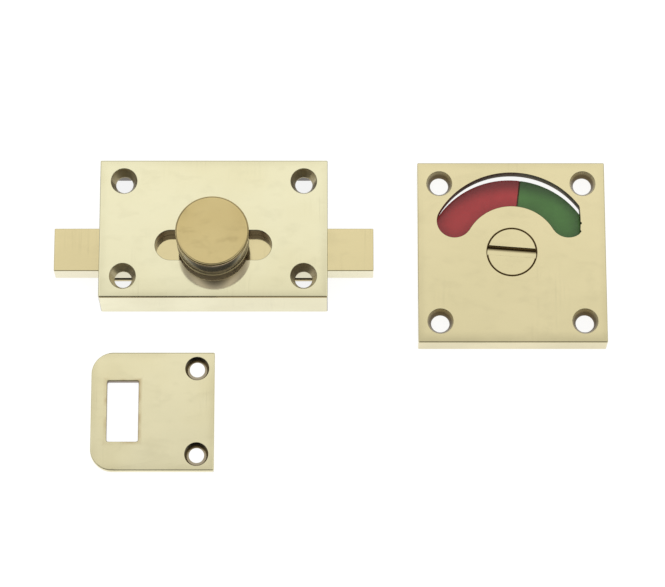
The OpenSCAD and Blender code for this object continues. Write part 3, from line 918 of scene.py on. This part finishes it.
brass("case_brass", (0.868, 0.822, 0.556), (0.838, 0.782, 0.506), rough=0.07, lines=0.1, waves=0.12,
      pits=0.02, band=(case_low, case_high, BAND), roll=(BACK, case_low.y, *CASE_ROLL))
brass("plate_brass", *PLATE_TONES, rough=0.09, lines=0.12, waves=0.15, pits=0.02,
      band=(plate_low, plate_high, BAND), roll=(BACK, plate_low.y, *PLATE_ROLL))
brass("keep_brass", (0.90, 0.83, 0.54), (0.84, 0.76, 0.46), rough=0.08, lines=0.12, waves=0.12,
      band=(keep_low, keep_high, BAND), opening=(mortice_low, mortice_high, STAIN_WIDE))
brass("flank_brass", (0.82, 0.76, 0.55), (0.80, 0.75, 0.52), rough=0.08, lines=0.12, waves=0.12)
brass("bolt_brass", (0.745, 0.64, 0.352), (0.77, 0.665, 0.368), rough=0.09, lines=0.15, pits=0.03)
brass("knob_brass", (0.67, 0.54, 0.255), (0.60, 0.47, 0.205), rough=0.15, lines=0.12, waves=0.16, pits=0.15,
      mottled=0.4)
print("polished:", list(finishes))

# %% Holes, walls and dark corners
HOLE_LINES, KNOB_LINES = (30, 30, 1500), (30, 30, 1600)  # marks that run round a wall
DULL_TONES = (0.53, 0.455, 0.255), (0.405, 0.33, 0.175)
BORE_FROM, BORE_TO = 0.1 * MM, 2 * MM  # the depths between which a painted shade darkens a hole in the plate
SLOT_FROM, SLOT_TO = 0.1 * MM, 1.1 * MM  # the same for the coin slot, backward from its middle
KNOB_DIRTY = 4 * MM  # a painted shade on the knob's side deepens down to a place this far below its foot
KNOB_ROLL, KNOB_ROLL_LOW = (18 * MM, 3.1 * MM), 6 * MM  # a wide bump, from a place below the foot

slot_turn = math.radians(REST_TURN)
across_slot = Vector((-math.sin(slot_turn), math.cos(slot_turn), 0))
slot_middle = across_slot.dot(hub)
brass("inner_brass", (0.62, 0.52, 0.27), (0.52, 0.42, 0.20), rough=0.28, pits=0.03)
brass("drilled_brass", *DULL_TONES, rough=0.3, lines=0.8, metal=0.85, grain=HOLE_LINES)
brass("bored_brass", *DULL_TONES, rough=0.35, lines=0.9, waves=0.15, pits=0.1, metal=0.85, grain=HOLE_LINES,
      grime=(UP, plate_high.z - BORE_FROM, plate_high.z - BORE_TO))
brass("sunk_brass", (0.34, 0.285, 0.185), (0.255, 0.205, 0.13), rough=0.12, lines=0.4, waves=0.12, pits=0.1)
brass("cast_brass", (0.34, 0.32, 0.30), (0.27, 0.25, 0.23), rough=0.45, lines=0.2, waves=0.2, pits=0.2,
      metal=0.7)
brass("turned_brass", (0.60, 0.535, 0.53), (0.50, 0.42, 0.36), rough=0.08, lines=0.7, waves=0.08,
      grain=KNOB_LINES, roll=(UP, knob_low.z - KNOB_ROLL_LOW, *KNOB_ROLL),
      grime=(UP, knob_high.z, knob_low.z - KNOB_DIRTY))
brass("under_brass", (0.54, 0.48, 0.60), (0.45, 0.40, 0.49), rough=0.5, metal=0.3)
brass("coin_brass", *PLATE_TONES, rough=0.09, lines=0.12, waves=0.15, pits=0.02,
      grime=(across_slot, slot_middle + SLOT_FROM, slot_middle + SLOT_TO))
# a dark painted shade on the walls around the boss, on the boss's rim and on the walls of its coin slot
brass("ring_brass", (0.20, 0.13, 0.04), (0.15, 0.095, 0.025), rough=0.4, metal=0.4)
# a painted dark reflection line on the steeper part of the case's front round
brass("edge_brass", (0.44, 0.36, 0.18), (0.38, 0.30, 0.14), rough=0.2, lines=0.2)
# a dark painted shade on the walls of the case's slot and the keep's mortice, and on the steep half of the
# knob face's round
brass("worn_brass", (0.22, 0.165, 0.12), (0.15, 0.11, 0.08), rough=0.2, lines=0.4)
# the window's sawn walls, darkened as painted shade
brass("sawn_brass", (0.17, 0.13, 0.075), (0.11, 0.085, 0.05), rough=0.5)
brass("stained_brass", (0.12, 0.08, 0.045), (0.07, 0.05, 0.03), rough=0.45)
print("brasses:", len(finishes))

# %% [markdown]
# ### Steel and enamel
# The inner fasteners, washers and the leaf spring are bright steel with drawn lines. The
# enamel on the disc is a glossy paint: a nearly even colour, a little cloudy, with the faint
# ripple that a brush or a dip leaves.

# %% Steel
STEEL_PALE, STEEL_DARK = (0.60, 0.61, 0.62), (0.46, 0.47, 0.48)
STEEL_LINES = (60, 2200, 900)

shader, place = new_finish("drawn_steel")
line = noise(stretched(place, STEEL_LINES), 1)
fill(shader, Base_Color=toned(ranged(line, 0.35, 0.7), STEEL_PALE, STEEL_DARK), Metallic=1,
     Roughness=ranged(line, 0.3, 0.7, 0.22, 0.36), Normal=bumped(line, 0.01 * MM, 0.4))
print("steel nodes:", len(place.id_data.nodes))

# %% Enamel
PAINT_CLOUDS, PAINT_RIPPLES = 120, 900  # texture scales
BORDER_FROM, BORDER_TO = 6 * MM, 1 * MM  # from the rim, where a painted shadow of the window's upper edge, with the thicker paint, darkens the colour
BORDER_LOW = 12 * MM  # the border's curve is so much wider than the rim that it fades at both ends
BORDER_SHARE = 0.55  # how much of the colour's light is left there
border_at = (hub.x, hub.y - BORDER_LOW, red_high.z)
border_reach = BORDER_LOW + DISC_AT[1] + disc_radius


def enamel(name, plain, cloudy):
    """Glossy paint with a slight cloud in its colour, a faint ripple and a darker border: painted shadow of
    the window's edge, and thicker paint.
    """
    shader, place = new_finish(name)
    cloud = ranged(noise(place, PAINT_CLOUDS), 0.3, 0.7)
    far = vector_step("DISTANCE", place, border_at)["Value"]
    # the border: a painted shadow of the window's upper edge, with the thicker paint near the rim
    border = ranged(far, border_reach - BORDER_FROM, border_reach - BORDER_TO)
    tone = toned(border, toned(cloud, plain, cloudy), darker(cloudy, BORDER_SHARE))
    fine = noise(place, PAINT_RIPPLES, 2)
    fill(shader, Base_Color=tone, Roughness=ranged(fine, 0.3, 0.7, 0.16, 0.26),
         Normal=bumped(fine, 0.02 * MM, 0.15))


enamel("red_enamel", (0.45, 0.038, 0.040), (0.39, 0.032, 0.034))
enamel("green_enamel", (0.072, 0.200, 0.041), (0.060, 0.165, 0.033))
print("finishes so far:", len(finishes))

# %% [markdown]
# ### Where each finish goes
# Every piece first gets one finish all over. Then the faces that look different on the real
# metal, such as the walls of a hole, get a material slot of their own. They could be picked
# by hand in Edit Mode, but a rule about a face's place and direction finds them again after
# any change of shape.

# %% One finish for each piece


def finish_with(piece, name):
    """Gives a piece one finish in place of what it had."""
    piece.data.materials.clear()
    piece.data.materials.append(finishes[name])


for piece, name in ((case, "case_brass"), (bar, "bolt_brass"), (knob, "knob_brass"), (plate, "plate_brass"),
                    (boss, "plate_brass"), (disc, "stained_brass"), (keep, "keep_brass"),
                    (red_half, "red_enamel"), (green_half, "green_enamel")):
    finish_with(piece, name)
INNER_NODES = {
    "inner_brass": ("back_plate", "drive_pinion", "pinion_washer"),
    "knob_brass": ("knob_stem",),
    "drawn_steel": ("back_plate_screws", "friction_spring", "spring_pins", "knob_screw", "friction_washer",
                    "disc_washer", "retaining_ring"),
}
for name, nodes in INNER_NODES.items():
    for node in nodes:
        finish_with(frame["nodes"][node], name)
print("finished CAD nodes:", sum(len(nodes) for nodes in INNER_NODES.values()))

# %% Faces of the case and the bolt
FACING = 0.5  # a face looks along an axis when its normal has at least this share of it
EDGE_STEEP, EDGE_FLAT = 0.1, 0.8  # how upright the faces of the front edge's round are


def finish_faces(piece, **rules):
    """Gives each finish the faces that its rule chooses by their middle and normal."""
    for name, chosen in rules.items():
        piece.data.materials.append(finishes[name])
        last = len(piece.data.materials) - 1
        for face in piece.data.polygons:
            if chosen(face.center, face.normal):
                face.material_index = last
    print("finishes on", piece.name, piece.data.materials.keys())


def around(spots, reach):
    """Chooses the walls and cones of round holes."""
    return lambda point, normal: abs(normal.z) < LEVEL and off(point, *spots) < reach


def inside_case(point, normal):
    """Chooses the faces inside the case, which are left as they were cast."""
    within = case_low.z + NEAR < point.z < front_back + NEAR
    return within and not on_side(point, case_low, case_high)


def walls_in(low, high):
    """Chooses the walls that lie between two corners of a box."""
    return lambda point, normal: abs(normal.z) < FACING and all(
        start - NEAR < at < end + NEAR for start, at, end in zip(low, point, high))


def front_edge(point, normal):
    """Chooses the steeper part of the round at the case's front edge, for its painted dark line."""
    at_front = point.y < case_low.y + CASE_EDGE and normal.y < -FACING
    return at_front and EDGE_STEEP < normal.z < EDGE_FLAT


slot_reach = SLOT_HALF + SLOT_RADIUS
slot_low = (-slot_reach, bolt_y - SLOT_RADIUS, front_back)
slot_high = (slot_reach, bolt_y + SLOT_RADIUS, case_high.z)
finish_faces(case, cast_brass=inside_case, drilled_brass=around(case_holes, CASE_SINK),
             worn_brass=walls_in(slot_low, slot_high), edge_brass=front_edge)
finish_faces(bar, flank_brass=lambda point, normal: abs(normal.z) < FACING)

# %% Faces of the knob
DOWN = -0.15  # a normal that points further down than this belongs to the underside
RIM_STEEP, RIM_HALF = 0.05, 0.45  # how upright the steep half of the face's round is

finish_faces(
    knob,
    turned_brass=lambda point, normal: normal.z > DOWN and point.z < knob_high.z - KNOB_RIM + NEAR,
    drilled_brass=lambda point, normal: normal.z > DOWN and point.z < knob_low.z + LIP_HIGH + NEAR,
    worn_brass=lambda point, normal: RIM_STEEP < normal.z < RIM_HALF and point.z > knob_high.z - KNOB_RIM,
    under_brass=lambda point, normal: normal.z < DOWN)

# %% Faces of the indicator and the keep
ROUNDED = 0.98  # the flattest step of a round is less upright than this
COIN_WALL = 0.8  # the walls of the coin slot, with the steep part of their rounds


def boss_wall(point, normal):
    """Chooses the boss's round rim and the walls of its coin slot."""
    on_rim = off(point, hub.xy) > boss_radius - 1.5 * BOSS_EDGE
    return abs(normal.z) < (ROUNDED if on_rim else COIN_WALL)


finish_faces(
    plate,
    bored_brass=around(plate_holes, PLATE_SINK),
    sawn_brass=lambda point, normal: abs(normal.z) < LEVEL and off(point, hub.xy) < WINDOW_OUTER + NEAR,
    ring_brass=lambda point, normal: abs(normal.z) < ROUNDED and off(point, hub.xy) < WINDOW_INNER - NEAR)
finish_faces(
    boss,
    ring_brass=boss_wall,
    coin_brass=lambda point, normal: normal.z > LEVEL and abs(point.z - boss_high.z + COIN_DEEP) < NEAR)
finish_faces(keep, sunk_brass=around(keep_holes, KEEP_SINK), worn_brass=walls_in(mortice_low, mortice_high))

# %% [markdown]
# ## Table, light and camera
# The set lies on a sheet of milk glass that is lit from below, so it is white to the camera,
# in the metal and through the openings, and still keeps a soft shadow. The world is a lamp
# tent overhead. It is dark where the camera looks in through the roof, fades towards the
# front, where the tent is open, and is dim low down, least of all at the back. That dark is
# what draws the knob's side, the slot's wall, the upper walls of the holes and the thin lines
# on the edges. Lamps could be set one by one, but each would show as a spot in the metal.

# %% Floor
FLOOR_HALF = 3.0
FLOOR_DROP = 0.02 * MM
FLOOR_GLOW = 0.88
GLASS_AT = (40 * MM, -18 * MM, 0)
GLASS_FROM, GLASS_TO = 150 * MM, 210 * MM  # the lit glass ends between these distances
GLASS_LIT = 0.94  # how much of the glow the metal mirrors
FLOOR_GREY, FLOOR_CLOUD, FLOOR_CLOUDS = (0.22, 0.22, 0.22), (0.215, 0.215, 0.215), 40

bpy.ops.mesh.primitive_plane_add(size=2 * FLOOR_HALF, location=(0, 0, cad_box[0].z - FLOOR_DROP))
floor = settle(bpy.context.object, "white_table")
shader, place = new_finish("white_table")
path = add(place.id_data, "LightPath").outputs
far = vector_step("DISTANCE", place, GLASS_AT)["Value"]
lit = ranged(far, GLASS_FROM, GLASS_TO, GLASS_LIT, 0)
seen = joined("MAXIMUM", path["Is Camera Ray"], path["Is Transmission Ray"])
seen = joined("MAXIMUM", seen, joined("MULTIPLY", path["Is Glossy Ray"], lit))
fill(shader, Base_Color=toned(noise(place, FLOOR_CLOUDS), FLOOR_GREY, FLOOR_CLOUD), Roughness=1,
     Specular_IOR_Level=0, Emission_Color=(1, 1, 1, 1),
     Emission_Strength=ranged(seen, 0, 1, 0, FLOOR_GLOW))
finish_with(floor, "white_table")
print("floor at", round(floor.data.vertices[0].co.z / MM, 3), "mm")

# %% [markdown]
# The tent's light is a formula of the direction, written with nodes. Seen from above, a
# direction is a point in a circle whose middle is straight up, so a dark place is a distance
# from a point in that circle. The darker the tent is, the cooler it gets, as an unlit room
# is. Only mirrors see the dark: for the soft light on the table the tent is even.

# %% Tent
ROOF_HOLE = (0, -0.05, 0)  # the middle of the dark place in the roof
HOLE_WIDE = (0.6, 1, 0)  # it is wider than it is deep
HOLE_FROM, HOLE_TO = 0.08, 0.40  # how far from there the dark ends
HOLE_DARK, ROOF_LEVEL = 0.07, 1.03
FRONT = (0, -1, 0)
FRONT_FROM, FRONT_TO, FRONT_DIM = 0.78, 0.38, 0.25  # the fading towards the open front
LOW_FROM, LOW_TO = 0.45, 0.85  # the heights between which the tent's skirt gets bright
SKIRT_FROM, SKIRT_TO = 0.75, 1.6  # how far from the front the skirt's level rises
SKIRT_NEAR, SKIRT_FAR = 0.05, 0.45  # the skirt's level at the front and at the back
COOL_FROM, COOL_TO = 0.25, 0.95  # the levels between which the light loses its cool tone
COOL, PLAIN = (0.98, 0.99, 1.03), (1, 1, 1)

world = bpy.data.worlds.new("bright_tent")
bpy.context.scene.world = world
world.use_nodes = True
tree = world.node_tree
direction = add(tree, "TexCoord").outputs["Generated"]


def apart(point, spread=(1, 1, 0)):
    """How far a direction lies from a point, both seen from above and drawn out by a spread."""
    above = vector_step("MULTIPLY", direction, spread)["Vector"]
    return vector_step("DISTANCE", above, point)["Value"]


def levelled(amount, low, high):
    """A level that goes from one value to another by an amount; either may be a socket."""
    return add(tree, "Mix", Factor=amount, A=low, B=high).outputs["Result"]


roof = ranged(apart(ROOF_HOLE, HOLE_WIDE), HOLE_FROM, HOLE_TO, HOLE_DARK, ROOF_LEVEL)
fading = ranged(apart(FRONT), FRONT_FROM, FRONT_TO, 1, FRONT_DIM)
skirt = ranged(apart(FRONT), SKIRT_FROM, SKIRT_TO, SKIRT_NEAR, SKIRT_FAR)
height = add(tree, "SeparateXYZ", Vector=direction).outputs["Z"]
low_down = levelled(ranged(height, LOW_FROM, LOW_TO), skirt, 1)
tent = joined("MULTIPLY", joined("MULTIPLY", roof, fading), low_down)
level = levelled(add(tree, "LightPath").outputs["Is Glossy Ray"], 1, tent)
tint = toned(ranged(level, COOL_FROM, COOL_TO), COOL, PLAIN)
fill(tree.nodes["Background"], Strength=level, Color=tint)
print("tent:", world.name)

# %% [markdown]
# The camera stands high in front of the set with a long lens, so the units keep nearly
# parallel edges. Its place is given by the point on the table that it looks at, its height
# above the table in degrees, and its distance.

# %% Camera
LOOK_AT = Vector((39.92 * MM, -17.73 * MM, 0))
CAMERA_RISE = math.radians(73.23)
CAMERA_FAR = 1185 * MM
LENS, SENSOR = 189.5, 36

away = Vector((0, -math.cos(CAMERA_RISE), math.sin(CAMERA_RISE)))
bpy.ops.object.camera_add(
    location=LOOK_AT + CAMERA_FAR * away, rotation=away.to_track_quat("Z", "Y").to_euler())
camera = bpy.context.object
camera.data.lens = LENS
camera.data.sensor_width = SENSOR
bpy.context.scene.camera = camera
bpy.context.scene.view_settings.view_transform = "Standard"
print("camera at", [round(c / MM, 1) for c in camera.location], "mm")
